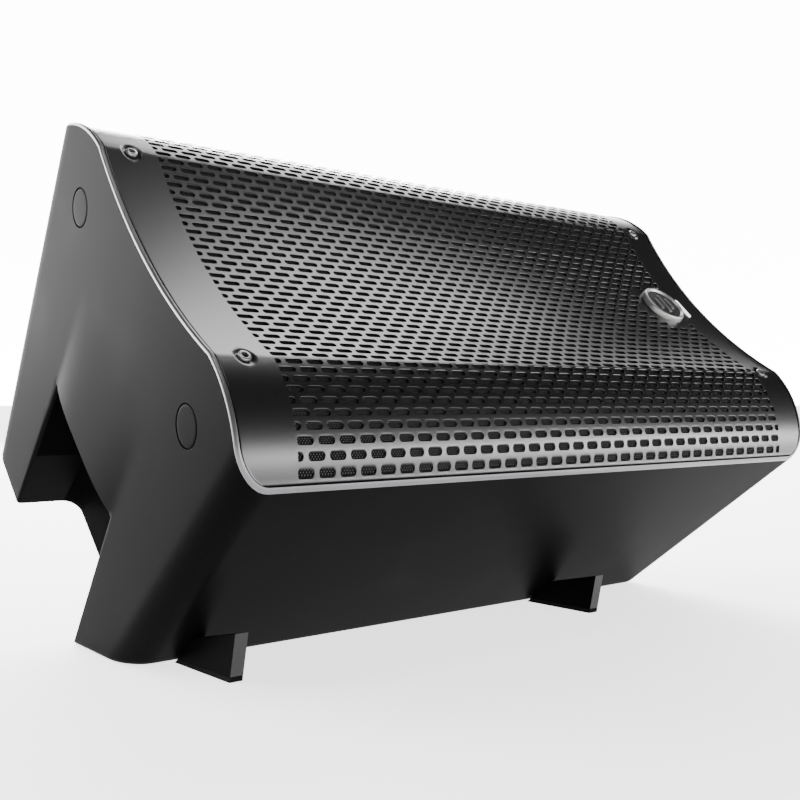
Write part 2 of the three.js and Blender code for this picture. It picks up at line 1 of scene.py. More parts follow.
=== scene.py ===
import json
import math
import bpy
import bmesh
import numpy as np
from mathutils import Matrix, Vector

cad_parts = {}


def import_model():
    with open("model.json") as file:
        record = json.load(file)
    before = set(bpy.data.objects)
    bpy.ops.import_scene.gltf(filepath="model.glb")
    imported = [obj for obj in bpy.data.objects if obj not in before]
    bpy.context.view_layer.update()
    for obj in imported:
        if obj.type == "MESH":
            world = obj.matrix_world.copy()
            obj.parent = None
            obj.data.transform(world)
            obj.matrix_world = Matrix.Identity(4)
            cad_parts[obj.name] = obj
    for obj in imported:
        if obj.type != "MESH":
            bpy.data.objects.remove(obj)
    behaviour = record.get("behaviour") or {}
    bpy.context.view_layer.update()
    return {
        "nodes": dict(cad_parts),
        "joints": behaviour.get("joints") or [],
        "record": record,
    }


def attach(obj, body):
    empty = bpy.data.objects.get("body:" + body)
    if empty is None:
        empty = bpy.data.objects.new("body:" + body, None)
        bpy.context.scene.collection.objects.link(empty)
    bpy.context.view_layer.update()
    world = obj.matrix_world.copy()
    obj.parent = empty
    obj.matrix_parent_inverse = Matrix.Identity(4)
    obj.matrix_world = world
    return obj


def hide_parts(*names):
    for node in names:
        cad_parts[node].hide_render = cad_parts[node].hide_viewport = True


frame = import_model()
nodes = frame["nodes"]

# ---------------------------------------------------------------- the cabinet's frame
# Shapes are drawn in millimetres in the cabinet's own frame: x along its length, y across its width,
# z out of the front, with z = 0 on the two creases. The knob's hinge gives that frame's place.
HALF_LENGTH, HALF_WIDTH, RIM_Z, DEPTH = 332.7, 195.0, -42.3, 373.0
CREASE_Y, DISH_DEPTH, SHOULDER_RADIUS = 113.3, 14.9, 100.0
END_DRAFT, SIDE_DRAFT, CORNER_RADIUS = 0.0761, 0.1244, 24.0
BEVEL_SUM = -443.5  # y + z on the floor bevel
PANEL_X, PANEL_Y, PANEL_Z = 32.0, 33.5, -353.0
SCREW_PLACES = [(x, y) for x in (-305.9, 304.4) for y in (-CREASE_Y, CREASE_Y)]
BADGE_X, LED_X = 262.7, 299.4
CAP_Y = {"upper": 116.2, "lower": -120.2}
CAP_Z = -59.8
POCKET_FRONT, POCKET_FLOOR_X = -209.0, -244.0
# y of the grip pocket's upper and lower sides, at its front and at the rear face.
POCKET_UPPER, POCKET_LOWER = (69.5, 79.0), (-72.5, -88.0)
POLE_Z = -230.0
KNOB_RISE = 42.0  # from the amplifier panel's middle to its row of knobs
R2 = math.sqrt(0.5)

knob_joint = next(j for j in frame["joints"] if j["name"] == "level_knob_1_turn")
knob_y, knob_z = PANEL_Y + KNOB_RISE, PANEL_Z
SHIFT_Y = knob_joint["pos_m"][1] * 1000 - (knob_y - knob_z) * R2
SHIFT_Z = knob_joint["pos_m"][2] * 1000 - (knob_y + knob_z) * R2


def world(points):
    """Cabinet millimetres to world metres."""
    p = np.asarray(points, float).reshape(-1, 3)
    y = (p[:, 1] - p[:, 2]) * R2 + SHIFT_Y
    z = (p[:, 1] + p[:, 2]) * R2 + SHIFT_Z
    return np.column_stack([p[:, 0], y, z]) / 1000


def cabinet(point):
    """World metres to cabinet millimetres."""
    y, z = (point[1] * 1000 - SHIFT_Y) * R2, (point[2] * 1000 - SHIFT_Z) * R2
    return point[0] * 1000, y + z, z - y


def end_at(z):
    """Half length of the drafted cabinet at z."""
    return HALF_LENGTH + END_DRAFT * z


def side_at(z):
    """Half width of the drafted cabinet at z."""
    return HALF_WIDTH + SIDE_DRAFT * (z - RIM_Z)


def front_z(y):
    """The front: a shallow dish between the creases and a round shoulder outside each."""
    side = abs(y)
    dish_radius = (CREASE_Y ** 2 + DISH_DEPTH ** 2) / (2 * DISH_DEPTH)
    if side < CREASE_Y:
        return dish_radius - DISH_DEPTH - math.sqrt(dish_radius ** 2 - side ** 2)
    return math.sqrt(max(SHOULDER_RADIUS ** 2 - (side - CREASE_Y) ** 2, 0)) - SHOULDER_RADIUS


def back_z(y):
    """The rear face and the floor bevel, with a soft edge between them."""
    meet, soft = BEVEL_SUM + DEPTH, 5.0
    if y > meet + soft:
        return -DEPTH
    if y < meet - soft:
        return BEVEL_SUM - y
    return -DEPTH + (meet + soft - y) ** 2 / (4 * soft)


# ---------------------------------------------------------------- materials
PATCH_SCALE = 14.0
BRUSH = (1.0, 1.0, 0.06)


def shader(name, color, rough, metallic=0.0, grain=900.0, bump=0.00004, spread=0.12, rough_spread=0.08,
           coat=0.0, weave=0.0, specular=0.5, brushed=None):
    """A procedural finish: grain and broad patches vary its colour, roughness and bump."""
    mat = bpy.data.materials.new(name)
    mat.use_nodes = True
    tree = mat.node_tree
    link = tree.links.new
    bsdf = tree.nodes["Principled BSDF"]
    bsdf.inputs["Metallic"].default_value = metallic
    bsdf.inputs["Specular IOR Level"].default_value = specular
    if coat:
        bsdf.inputs["Coat Weight"].default_value = coat
        bsdf.inputs["Coat Roughness"].default_value = 0.15
    place = tree.nodes.new("ShaderNodeTexCoord").outputs["Object"]
    if brushed:
        mapping = tree.nodes.new("ShaderNodeMapping")
        mapping.inputs["Scale"].default_value = brushed
        link(place, mapping.inputs["Vector"])
        place = mapping.outputs["Vector"]

    def noise(scale, detail):
        node = tree.nodes.new("ShaderNodeTexNoise")
        node.inputs["Scale"].default_value = scale
        node.inputs["Detail"].default_value = detail
        link(place, node.inputs["Vector"])
        return node.outputs["Fac"]

    def spread_to(value, low, high):
        node = tree.nodes.new("ShaderNodeMapRange")
        node.inputs["From Min"].default_value = 0.3
        node.inputs["From Max"].default_value = 0.7
        node.inputs["To Min"].default_value = low
        node.inputs["To Max"].default_value = high
        link(value, node.inputs["Value"])
        return node.outputs["Result"]

    def combined(operation, a, b):
        node = tree.nodes.new("ShaderNodeMath")
        node.operation = operation
        link(a, node.inputs[0])
        link(b, node.inputs[1])
        return node.outputs[0]

    light_tone = max(color) > 0.5
    broad, fine = noise(PATCH_SCALE, 3.0), noise(grain, 2.0)
    tone = combined("ADD", spread_to(broad, -spread, spread), spread_to(fine, -spread, spread))
    ramp = tree.nodes.new("ShaderNodeMapRange")
    ramp.inputs["From Min"].default_value = -1.0
    ramp.inputs["From Max"].default_value = 0.3 if light_tone else 1.0
    link(tone, ramp.inputs["Value"])
    mix = tree.nodes.new("ShaderNodeMix")
    mix.data_type = "RGBA"
    mix.inputs["A"].default_value = (*[c * 0.55 if light_tone else 0.0 for c in color], 1)
    mix.inputs["B"].default_value = (*[c if light_tone else 2 * c for c in color], 1)
    link(ramp.outputs["Result"], mix.inputs["Factor"])
    link(mix.outputs["Result"], bsdf.inputs["Base Color"])
    gloss = combined("MULTIPLY", broad, fine)
    link(spread_to(gloss, rough + rough_spread, max(rough - rough_spread, 0.02)), bsdf.inputs["Roughness"])
    height = fine
    if weave:
        waves = []
        for direction in ("X", "Y"):
            wave = tree.nodes.new("ShaderNodeTexWave")
            wave.bands_direction = direction
            wave.inputs["Scale"].default_value = weave
            wave.inputs["Distortion"].default_value = 0.4
            link(place, wave.inputs["Vector"])
            waves.append(wave.outputs["Fac"])
        height = combined("ADD", combined("MULTIPLY", *waves), fine)
    lift = tree.nodes.new("ShaderNodeBump")
    lift.inputs["Distance"].default_value = bump
    lift.inputs["Strength"].default_value = 0.9
    link(height, lift.inputs["Height"])
    link(lift.outputs["Normal"], bsdf.inputs["Normal"])
    return mat


def add_glow(material, strength):
    """White light that the surface gives off itself."""
    bsdf = material.node_tree.nodes["Principled BSDF"]
    bsdf.inputs["Emission Color"].default_value = (1, 1, 1, 1)
    bsdf.inputs["Emission Strength"].default_value = strength


def grille_backing():
    """Woven acoustic mesh: dark threads with fine bright crossings."""
    mat = shader("woven_backing", (0.001, 0.001, 0.0011), 0.85, grain=1400, bump=0.0002, spread=0.3,
                 specular=0.05)
    tree = mat.node_tree
    bsdf = tree.nodes["Principled BSDF"]
    dots = tree.nodes.new("ShaderNodeTexVoronoi")
    dots.voronoi_dimensions = "2D"
    dots.inputs["Scale"].default_value = 600
    dots.inputs["Randomness"].default_value = 0.0
    flow = next(n for n in tree.nodes if n.type == "TEX_COORD").outputs["Object"]
    for turn in ((-math.pi / 4, 0, 0), (0, 0, math.pi / 4)):
        mapping = tree.nodes.new("ShaderNodeMapping")
        mapping.inputs["Rotation"].default_value = turn
        tree.links.new(flow, mapping.inputs["Vector"])
        flow = mapping.outputs["Vector"]
    tree.links.new(flow, dots.inputs["Vector"])
    bright = tree.nodes.new("ShaderNodeMapRange")
    bright.inputs["From Min"].default_value = 0.32
    bright.inputs["From Max"].default_value = 0.14
    tree.links.new(dots.outputs["Distance"], bright.inputs["Value"])
    mix = tree.nodes.new("ShaderNodeMix")
    mix.data_type = "RGBA"
    mix.inputs["B"].default_value = (0.065, 0.065, 0.067, 1)
    base = bsdf.inputs["Base Color"].links[0].from_socket
    tree.links.new(base, mix.inputs["A"])
    tree.links.new(bright.outputs["Result"], mix.inputs["Factor"])
    tree.links.new(mix.outputs["Result"], bsdf.inputs["Base Color"])
    return mat


finishes = {
    "shell_plastic": shader("moulded_shell", (0.0012, 0.0012, 0.00125), 0.33, grain=1300, bump=0.00003,
                            specular=0.006),
    # A darker, duller copy of the shell's plastic: painted shade for the inside of the grip pocket.
    "pocket_painted_shade": shader("pocket_painted_shade", (0.0006, 0.0006, 0.0006), 0.6, grain=1300, bump=0.00003,
                            specular=0.004),
    # A lighter, glossier copy of the dark plastic: painted light for the fins' front faces, so they read lit
    # while the sides stay dark.
    "fin_front_painted_light": shader("fin_front_painted_light", (0.01, 0.01, 0.0105), 0.4, grain=1300, bump=0.00003, specular=0.3),
    "shell_rim": shader("moulded_rim", (0.13, 0.13, 0.135), 0.28, metallic=0.85, grain=1300, bump=0.00001),
    "grille_paint": shader("satin_powder_coat", (0.003, 0.003, 0.0032), 0.26, grain=1700, bump=0.00002,
                           rough_spread=0.04),
    "grille_cloth": grille_backing(),
    "bright_steel": shader("plated_steel", (0.26, 0.26, 0.27), 0.26, metallic=0.85, grain=700, bump=0.00001),
    "badge_metal": shader("satin_ring", (0.27, 0.265, 0.26), 0.32, metallic=0.85, grain=500, bump=0.00001,
                          brushed=BRUSH),
    "badge_face": shader("badge_face", (0.008, 0.0068, 0.0068), 0.35, grain=1500, bump=0.00002),
    "light_lens": shader("milky_lens", (0.9, 0.92, 0.95), 0.25, grain=800, bump=0.00001, spread=0.05,
                         coat=0.4),
    "rubber": shader("moulded_rubber", (0.003, 0.003, 0.003), 0.7, grain=1100, bump=0.00008, specular=0.03),
    "baffle_board": shader("stained_board", (0.008, 0.007, 0.006), 0.8, grain=600, bump=0.0001,
                           brushed=(0.1, 1, 1)),
    "cone_paper": shader("pressed_paper", (0.005, 0.005, 0.005), 0.8, grain=420, bump=0.0002, spread=0.3),
    "spider_cloth": shader("treated_cloth", (0.2, 0.12, 0.05), 0.8, grain=900, bump=0.0001, weave=700.0),
    "cast_metal": shader("painted_casting", (0.012, 0.012, 0.013), 0.5, metallic=0.4, grain=380, bump=0.0001),
    "copper": shader("wound_wire", (0.4, 0.2, 0.1), 0.35, metallic=1.0, grain=900, bump=0.00005,
                     brushed=(1, 0.1, 0.1)),
    "horn_plastic": shader("moulded_horn", (0.005, 0.005, 0.0053), 0.42, grain=1200, bump=0.00004,
                           specular=0.2),
    "panel_paint": shader("panel_powder_coat", (0.0035, 0.0035, 0.0037), 0.45, grain=1500, bump=0.00006,
                          specular=0.025),
    "heatsink_metal": shader("black_anodised", (0.006, 0.006, 0.0065), 0.38, metallic=0.4, grain=700,
                             bump=0.00004, brushed=(1, 0.05, 1), specular=0.03),
    "circuit": shader("circuit_board", (0.01, 0.05, 0.02), 0.45, grain=260, bump=0.0001, spread=0.35),
    "foam": shader("open_foam", (0.015, 0.015, 0.017), 0.95, grain=320, bump=0.0008, spread=0.4,
                   specular=0.1),
    "knob_plastic": shader("soft_touch", (0.0045, 0.0045, 0.0048), 0.5, grain=1600, bump=0.00004,
                           specular=0.06),
    "socket_plastic": shader("moulded_nylon", (0.0016, 0.0016, 0.0018), 0.32, grain=1100, bump=0.00003,
                             specular=0.05),
    "display_glass": shader("display_window", (0.001, 0.0016, 0.0024), 0.12, grain=200, bump=0.000005,
                            rough_spread=0.03, coat=0.03, specular=0.1),
}
add_glow(finishes["light_lens"], 1.5)


# ---------------------------------------------------------------- making pieces
def soften(obj, angle):
    """Smooth shading with sharp edges kept above an angle in degrees."""
    bm = bmesh.new()
    bm.from_mesh(obj.data)
    limit = math.radians(angle)
    for face in bm.faces:
        face.smooth = True
    for edge in bm.edges:
        edge.smooth = len(edge.link_faces) == 2 and edge.calc_face_angle(0.0) < limit
    bm.to_mesh(obj.data)
    bm.free()
    even = obj.modifiers.new("even_normals", "WEIGHTED_NORMAL")
    even.keep_sharp = True
    even.weight = 90


def raw_object(name, points, faces, merge=0.00002):
    """A mesh object from cabinet millimetres, with close points merged."""
    mesh = bpy.data.meshes.new(name)
    mesh.from_pydata(world(points).tolist(), [], [tuple(f) for f in faces])
    obj = bpy.data.objects.new(name, mesh)
    bpy.context.scene.collection.objects.link(obj)
    bm = bmesh.new()
    bm.from_mesh(mesh)
    bmesh.ops.remove_doubles(bm, verts=bm.verts, dist=merge)
    bmesh.ops.dissolve_degenerate(bm, edges=bm.edges, dist=merge)
    bmesh.ops.recalc_face_normals(bm, faces=bm.faces)
    bm.to_mesh(mesh)
    bm.free()
    return obj


def finish_piece(obj, slot, body, replaced=(), angle=32.0):
    """Give a piece its finish, its body and the CAD nodes that it stands in for."""
    obj.data.materials.clear()
    obj.data.materials.append(finishes[slot])
    soften(obj, angle)
    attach(obj, body)
    if replaced:
        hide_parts(*replaced)


def apply_boolean(obj, tool, operation):
    """Join the tool to the object or cut it out, and remove the tool."""
    mod = obj.modifiers.new("shape", "BOOLEAN")
    mod.operation = operation
    mod.solver = "EXACT"
    mod.object = tool
    bpy.context.view_layer.objects.active = obj
    bpy.ops.object.modifier_apply(modifier=mod.name)
    mesh = tool.data
    bpy.data.objects.remove(tool)
    bpy.data.meshes.remove(mesh)


def rings_mesh(rings, close_ends=True):
    """Points and faces of a body through rings with equal counts."""
    count = len(rings[0])
    points = [p for ring in rings for p in ring]
    faces = []
    for r in range(len(rings) - 1):
        for i in range(count):
            a, b = r * count + i, r * count + (i + 1) % count
            faces.append((a, b, b + count, a + count))
    if close_ends:
        faces.append(tuple(range(count - 1, -1, -1)))
        faces.append(tuple(range((len(rings) - 1) * count, len(rings) * count)))
    return points, faces


def local_frame(origin, out):
    """A function from local (a, b, height) to cabinet millimetres, for a frame that looks along out."""
    n = Vector(out).normalized()
    b_axis = (Vector((0, 1, 0)) - n * n.y).normalized()
    a_axis = b_axis.cross(n)
    o = Vector(origin)
    return lambda a, b, h: tuple(o + a_axis * a + b_axis * b + n * h)


def turned(place, outline, segments=48):
    """Points and faces of a turned body about the height axis, through (radius, height) pairs."""
    rings = []
    for radius, height in outline:
        ring = []
        for i in range(segments):
            angle = 2 * math.pi * i / segments
            ring.append(place(radius * math.cos(angle), radius * math.sin(angle), height))
        rings.append(ring)
    return rings_mesh(rings)


def end_frame(side, y, z):
    """The local frame of a spot on the far (+1) or near (-1) end face."""
    return local_frame((side * end_at(z), y, z), (side, 0, -END_DRAFT))


def rounded_box_rings(place, half_a, half_b, radius, levels):
    """Rings of a rounded rectangle; levels are (height, growth) pairs."""
    steps = 6
    rings = []
    for height, grow in levels:
        ring = []
        r = max(radius + grow, 0.5)
        for quarter, (sa, sb) in enumerate(((1, 1), (-1, 1), (-1, -1), (1, -1))):
            for i in range(steps + 1):
                angle = math.pi / 2 * (quarter + i / steps)
                a = sa * (half_a - radius) + r * math.cos(angle)
                b = sb * (half_b - radius) + r * math.sin(angle)
                ring.append(place(a, b, height))
        rings.append(ring)
    return rings


def rounded_bar(name, place, half_a, half_b, low, high, edge, slot_name, replaced=()):
    """A bar with round ends and a softened top."""
    levels = [(low, 0), (high - edge, 0), (high - 0.3 * edge, -0.3 * edge), (high, -edge)]
    bar = rounded_box_rings(place, half_a, half_b, min(half_a, half_b) * 0.98, levels)
    finish_piece(raw_object(name, *rings_mesh(bar)), slot_name, "root", replaced)


# ---------------------------------------------------------------- cabinet shell
WALL = 5.0
CORNER_STEPS = 9
END_ROWS = [-58.0, -76.0, -92.0, -104.0, -116.0, -128.0, -140.0, -152.0, -164.0, -176.0, -188.0, -200.0,
            -209.0, -225.0, -240.0]
REAR_ROUND = 7.0


def end_columns():
    """Fractions across an end face at which the outline has points, from +1 to -1."""
    reach = side_at(front_z(CREASE_Y)) - CORNER_RADIUS
    stops = [1.0, CREASE_Y / reach, -CREASE_Y / reach, -1.0]
    values = []
    for (a, b), steps in zip(zip(stops, stops[1:]), (12, 40, 12)):
        values += [a + (b - a) * i / steps for i in range(steps)]
    return values + [-1.0]


def half_outline():
    """The (fraction, angle) columns of half the cabinet's outline, from its upper side to its lower."""
    columns = [(1.0, math.pi / 2 * (1 - i / CORNER_STEPS)) for i in range(CORNER_STEPS)]
    columns += [(f, 0.0) for f in end_columns()]
    columns += [(-1.0, -math.pi / 2 * (i + 1) / CORNER_STEPS) for i in range(CORNER_STEPS)]
    return columns


def outline_point(column, z, inset_x=0.0, inset_y=0.0):
    """x and y of a column at z: a place along the end face, and an angle round the corner."""
    fraction, angle = column
    x_middle, y_middle = end_at(z) - CORNER_RADIUS, side_at(z) - CORNER_RADIUS
    x = x_middle + (CORNER_RADIUS - inset_x) * math.cos(angle)
    y = fraction * y_middle + (CORNER_RADIUS - inset_y) * math.sin(angle)
    return x, y


def on_surface(column, surface, inset_x=0.0, inset_y=0.0, lift=0.0):
    """The outline's point where it meets a surface z = surface(y)."""
    z = surface(0.0)
    for _ in range(40):
        x, y = outline_point(column, z, inset_x, inset_y)
        z = surface(y) + lift
    return x, y, z


def bezier(a, c, b, steps):
    """Points of a curve from a to b that is pulled towards c."""
    points = []
    for i in range(steps + 1):
        t = i / steps
        points.append(tuple((1 - t) ** 2 * a[k] + 2 * t * (1 - t) * c[k] + t * t * b[k] for k in range(3)))
    return points


LIP_ROUND, LIP_WIDTH, LIP_SIDE = 2.4, 3.6, 0.62
SWELL_FRONT, SWELL_HEIGHT, SWELL_MIDDLE, SWELL_HALF = -104.0, 4.6, -1.5, 71.0


def swelling(y, z):
    """How far the hand-grip patch of the near end stands proud, most at the pocket's front edge."""
    across = 1 - abs((y - SWELL_MIDDLE) / SWELL_HALF) ** 3.4
    if across <= 0 or z <= POCKET_FRONT - 0.5:
        return 0.0
    along = min(max((SWELL_FRONT - z) / (SWELL_FRONT - POCKET_FRONT), 0.0), 1.0)
    return SWELL_HEIGHT * along ** 1.2 * across


def shell_column(column, near):
    """One column of points, from the front's inner edge over the lip and down to the rear's inner ring."""
    def front(inset):
        return on_surface(column, front_z, inset, inset * LIP_SIDE)

    wall_drop, groove_drop = 12, 9
    wall_z = on_surface(column, front_z, WALL, WALL)[2] - wall_drop
    x, y, z = front(LIP_WIDTH)
    groove = outline_point(column, z - groove_drop, LIP_WIDTH, LIP_WIDTH * LIP_SIDE)
    points = [(*outline_point(column, wall_z, WALL, WALL), wall_z), (*groove, z - groove_drop),
              (x, y, z - 0.6), front(LIP_WIDTH - 0.5)]
    corner, inner = front(0.0), front(LIP_ROUND)
    low = (*outline_point(column, corner[2] - LIP_ROUND), corner[2] - LIP_ROUND)
    points += bezier(inner, corner, low, 6)
    for z in END_ROWS:
        x, y = outline_point(column, z)
        if near and column[1] == 0.0:
            x += swelling(y, z)
        points.append((x, y, z))
    corner = on_surface(column, back_z)
    high = (*outline_point(column, corner[2] + REAR_ROUND), corner[2] + REAR_ROUND)
    points += bezier(high, corner, on_surface(column, back_z, REAR_ROUND, REAR_ROUND), 5)
    return points


def shell_body():
    """The hollow cabinet: a loop of columns round it, joined across the rear outside and inside."""
    columns = half_outline()
    near = [[(-p[0], p[1], p[2]) for p in shell_column(c, True)] for c in columns]
    far = [shell_column(c, False) for c in columns]
    inner_near, inner_far = [], []
    for c in columns:
        x, y, z = on_surface(c, back_z, WALL, WALL, WALL)
        inner_near.append((-x, y, z))
        inner_far.append((x, y, z))
    loop = near + far[::-1]
    rows = len(loop[0])
    points = [p for column in loop for p in column]
    faces = []
    for i in range(len(loop)):
        j = (i + 1) % len(loop)
        for r in range(rows - 1):
            faces.append((i * rows + r, j * rows + r, j * rows + r + 1, i * rows + r + 1))
    count, total = len(columns), len(loop)
    for i in range(count - 1):
        a, b = i, i + 1
        c, d = total - 1 - b, total - 1 - a
        faces.append(tuple(k * rows + rows - 1 for k in (a, b, c, d)))
    base = len(points)
    inner = inner_near + inner_far[::-1]
    points += inner
    for i in range(total):
        j = (i + 1) % total
        faces.append((base + j, base + i, i * rows, j * rows))
    for i in range(count - 1):
        a, b = i, i + 1
        faces.append(tuple(base + k for k in (a, b, total - 1 - b, total - 1 - a)))
    return raw_object("moulded_cabinet", points, faces)


def pocket_half(side, z):
    """How far the pocket's upper or lower side lies from the middle at z."""
    near, far = (abs(v) for v in (POCKET_UPPER if side > 0 else POCKET_LOWER))
    return near + (far - near) * (POCKET_FRONT - z) / (POCKET_FRONT + DEPTH)


def pocket_opening():
    """Cutter for the grip pocket, open to the near end and to the rear with rolled edges."""
    roll, floor_round = 3.0, 16.0
    roll_z = -DEPTH + 2 * roll
    rows = [-DEPTH - 30, -DEPTH - 4, -DEPTH, -DEPTH + 1.5, -DEPTH + roll, roll_z, -340.0, -300.0, -260.0]
    steps = [(-12.0, roll), (-0.01, roll), (0.25, 1.9), (0.9, 0.9), (1.8, 0.25), (roll, 0.0)]

    def section(spread):
        outline = []
        for side in (1, -1):
            edge = []
            for z in rows + [POCKET_FRONT + spread]:
                half = pocket_half(side, z) + spread
                if z <= roll_z:
                    half += roll - math.sqrt(max(roll ** 2 - min(roll_z - z, roll) ** 2, 0.0))
                edge.append((side * half, z))
            outline += edge if side > 0 else edge[::-1]
        return outline

    rings = [[(-end_at(z) + depth, y, z) for y, z in section(spread)] for depth, spread in steps]
    for k in range(7):
        angle = math.pi / 2 * k / 6
        back, inset = floor_round * (1 - math.sin(angle)), floor_round * (1 - math.cos(angle))
        rings.append([(POCKET_FLOOR_X - back, y - math.copysign(inset, y), z) for y, z in section(0.0)])
    return raw_object("tool", *rings_mesh(rings), merge=0.000005)


def pocket_housing():
    """The pocket's walls inside the cabinet, held inside the floor bevel."""
    wall, inside, bevel = 4.0, 2.5, BEVEL_SUM + 3.6
    rear, top = -DEPTH + inside, POCKET_FRONT + wall
    low_half = pocket_half(-1, -340.0) + wall
    section = [(pocket_half(1, z) + wall, z) for z in (rear, top)]
    section += [(-pocket_half(-1, top) - wall, top), (-low_half, bevel + low_half), (bevel - rear, rear)]
    rings = [[(-end_at(z) + inside, y, z) for y, z in section],
             [(POCKET_FLOOR_X + wall, y, z) for y, z in section]]
    return raw_object("tool", *rings_mesh(rings), merge=0.000005)


def cut(obj, points, faces):
    """Cut a body out of an object."""
    apply_boolean(obj, raw_object("tool", points, faces), "DIFFERENCE")


def finish_rim_and_paint_pocket_shade(shell):
    """Give the front lip its own finish, and paint shade on the inside of the pocket with a darker, duller
    copy of the shell's plastic.
    """
    painted_shade_depth = 26
    shell.data.materials.append(finishes["shell_rim"])
    shell.data.materials.append(finishes["pocket_painted_shade"])
    for face in shell.data.polygons:
        x, y, z = cabinet(face.center)
        # Faces deep inside the pocket get the painted shade.
        in_pocket = POCKET_FRONT > z > -DEPTH - 1 and abs(y) < abs(POCKET_LOWER[1])
        if in_pocket and painted_shade_depth - end_at(z) < x < POCKET_FLOOR_X + 2:
            face.material_index = 2
        if abs(y) < HALF_WIDTH + 1 and z > front_z(y) - LIP_ROUND - 0.4:
            face.material_index = 1


def cabinet_shell():
    """The moulded cabinet with its pocket, panel recess, cap recesses and pole socket."""
    panel = local_frame((PANEL_X, PANEL_Y, PANEL_Z), (0, 0, -1))
    shell = shell_body()
    apply_boolean(shell, pocket_housing(), "UNION")
    tunnel = rounded_box_rings(panel, 154, 74, 9, [(-9, 0), (17.5, 0)])
    apply_boolean(shell, raw_object("tool", *rings_mesh(tunnel)), "UNION")
    apply_boolean(shell, pocket_opening(), "DIFFERENCE")
    mouth = [(-2.8, 0), (17.0, 0), (18.2, 0.3), (19.2, 1.0), (19.8, 1.9), (20.01, 3.0), (40.0, 3.0)]
    cut(shell, *rings_mesh(rounded_box_rings(panel, 150, 70, 6, mouth)))
    cut(shell, *rings_mesh(rounded_box_rings(panel, 142, 62, 6, [(-20, 0), (5, 0)])))
    recess = [(7.5, -30), (7.5, -2.6), (15.4, -2.6), (15.4, -0.7), (15.6, -0.25), (16.0, 0.02), (16.0, 6)]
    for y in CAP_Y.values():
        cut(shell, *turned(end_frame(-1, y, CAP_Z), recess))
    cut(shell, *turned(end_frame(1, 0, POLE_Z), [(22.4, -20), (22.4, 8)]))
    finish_piece(shell, "shell_plastic", "root", ["cabinet_shell"], angle=28)
    finish_rim_and_paint_pocket_shade(shell)


cabinet_shell()


# ---------------------------------------------------------------- grille
# The sheet is a brick pattern of cells, with a slot in each, and plain sheet round them.
PITCH, SLOT_HALF, SLOT_RADIUS = 17.2, 6.75, 2.35
QUARTER = PITCH / 4
GRILLE_DROP, SHEET, EDGE_INSET = 1.0, 1.3, 5.3
PATTERN, LEAST_SLOT = (-284.3, 288.9), 1.5  # x where the slots begin and end, and the shortest cut slot
FIRST_CELL = 54.6 - HALF_LENGTH
EDGE_Y = 191.3
BADGE_CLEARING, DIMPLE_RADIUS, DIMPLE_DEPTH = 28.0, 8.6, 2.1
MARGIN_STEPS = 34
# Rows of slots from the middle outwards: evenly spaced in the dish, closer over the shoulders.
ROW_CENTRES = [4.095 + 8.19 * k for k in range(13)]
ROW_CENTRES += [110.0, 117.4, 124.7, 132.3, 140.1, 148.0, 156.0, 164.0, 172.0, 180.0, 187.8]


def row_table():
    """(lower bound, centre, upper bound, parity) of each row of slots, from -y to +y."""
    centres = [-c for c in reversed(ROW_CENTRES)] + ROW_CENTRES
    bounds = [-EDGE_Y] + [(a + b) / 2 for a, b in zip(centres, centres[1:])] + [EDGE_Y]
    return [(bounds[i], c, bounds[i + 1], i % 2) for i, c in enumerate(centres)]


def grille_edge_x(y):
    """Half length of the grille sheet at y, rounded at its corners."""
    z = front_z(y)
    x_middle = end_at(z) - CORNER_RADIUS
    y_middle = side_at(z) - CORNER_RADIUS
    reach = abs(y) - y_middle
    if reach <= 0:
        return end_at(z) - EDGE_INSET
    across = min(reach / (CORNER_RADIUS - EDGE_INSET * LIP_SIDE), 0.985)
    return x_middle + (CORNER_RADIUS - EDGE_INSET) * math.sqrt(1 - across ** 2)


def dimple(x, y):
    """How far the sheet dips round a screw."""
    drop = 0.0
    for sx, sy in SCREW_PLACES:
        r = math.hypot(x - sx, y - sy)
        if r < DIMPLE_RADIUS:
            t = min((DIMPLE_RADIUS - r) / 3.4, 1.0)
            drop = DIMPLE_DEPTH * t * t * (3 - 2 * t)
    return drop


def sheet_point(x, y, drop):
    """A point of the sheet, drop below its outer face."""
    return (x, y, front_z(y) - GRILLE_DROP - drop - dimple(x, y))


def slot_cell(cx, low, cy, high):
    """A cell's outline, and a function for its slot's outline, as 16 matching points each."""
    x0, x1, step = cx - 2 * QUARTER, cx + 2 * QUARTER, (low - high) / 4
    outer = [(cx - QUARTER, high), (cx, high), (cx + QUARTER, high), (x1, high)]
    outer += [(x1, high + step * k) for k in (1, 2, 3)]
    outer += [(x1, low), (cx + QUARTER, low), (cx, low), (cx - QUARTER, low), (x0, low)]
    outer += [(x0, low - step * k) for k in (1, 2, 3)]
    outer += [(x0, high)]

    def inner(grow):
        radius, half = SLOT_RADIUS + grow, SLOT_HALF - SLOT_RADIUS
        ring = [(cx - half, cy + radius), (cx, cy + radius), (cx + half, cy + radius)]
        ring += [(cx + half + radius * math.cos(a), cy + radius * math.sin(a))
                 for a in (math.pi / 3 - math.pi / 6 * k for k in range(5))]
        ring += [(cx + half, cy - radius), (cx, cy - radius), (cx - half, cy - radius)]
        ring += [(cx - half - radius * math.cos(a), cy + radius * math.sin(a))
                 for a in (-math.pi / 3 + math.pi / 6 * k for k in range(5))]
        return [(min(max(x, PATTERN[0] - grow), PATTERN[1] + grow), y) for x, y in ring]

    return outer, inner


def is_slot(cx, cy):
    """Whether a cell lies within the pattern and clear of the badge."""
    if cx + SLOT_HALF < PATTERN[0] + LEAST_SLOT or cx - SLOT_HALF > PATTERN[1] - LEAST_SLOT:
        return False
    dx = max(abs(cx - BADGE_X) - (SLOT_HALF - SLOT_RADIUS), 0.0)
    return math.hypot(dx, cy) - SLOT_RADIUS > BADGE_CLEARING


